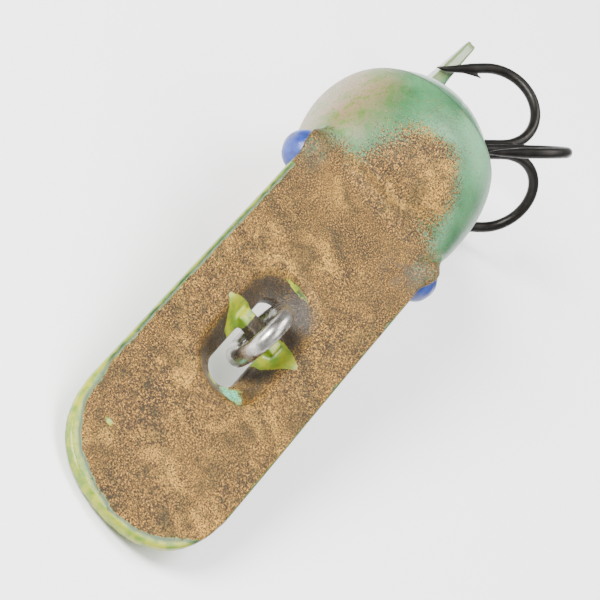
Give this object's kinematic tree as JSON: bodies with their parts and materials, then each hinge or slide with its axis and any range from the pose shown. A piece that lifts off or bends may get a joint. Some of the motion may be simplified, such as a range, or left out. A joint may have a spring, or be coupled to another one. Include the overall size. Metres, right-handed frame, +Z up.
{
  "type": "fishing lure",
  "caption": "Small diving fishing lure with a long stamped brass lip and hood, plump moulded body, oval line-tie ring, tail fin and treble hook.",
  "frame": {"origin": "bottom centre of the lure's box, as it rests on a table on its lip's tip, belly eye and third hook", "axes": "+X towards the tip of the lip, +Z up from the table, +Y towards the lure's left"},
  "size_m": [0.0676, 0.0222, 0.0164],
  "materials": {
    "brass_lip": "worn stamped brass, oversprayed green at its edges",
    "body_plastic": "pearl white to green, lacquered",
    "eye_blue": "glossy blue paint",
    "ring_steel": "bright drawn wire",
    "hook_bronze": "dark bronzed hook wire",
    "ballast_lead": "dull cast lead"
  },
  "bodies": {
    "lure": {"diving_lip": "brass_lip", "body_left_half": "body_plastic", "body_right_half": "body_plastic", "eye_left": "eye_blue", "eye_right": "eye_blue", "belly_hanger": "ring_steel", "ballast_weight": "ballast_lead"},
    "tie_ring": {"line_tie_ring": "ring_steel"},
    "ring": {"split_ring": "ring_steel"},
    "treble": {"treble_double_hook": "hook_bronze", "treble_single_hook": "hook_bronze"}
  },
  "joints": [
    {"name": "tie_ring_swing", "type": "hinge", "parent": "lure", "child": "tie_ring", "pos_m": [0.01478, -0.00336, 0.00567], "axis": [0.0352, 0.9927, 0.1152], "range_deg": [-30, 60]},
    {"name": "split_ring_swing", "type": "hinge", "parent": "lure", "child": "ring", "pos_m": [-0.01727, -0.00176, 0.00169], "axis": [-0.2069, -0.1056, 0.9727], "range_deg": [-30, 0]},
    {"name": "treble_swing", "type": "hinge", "parent": "ring", "child": "treble", "pos_m": [-0.01928, -0.00147, 0.00198], "axis": [-0.184, -0.4076, -0.8944], "range_deg": [-10, 60]}
  ]
}
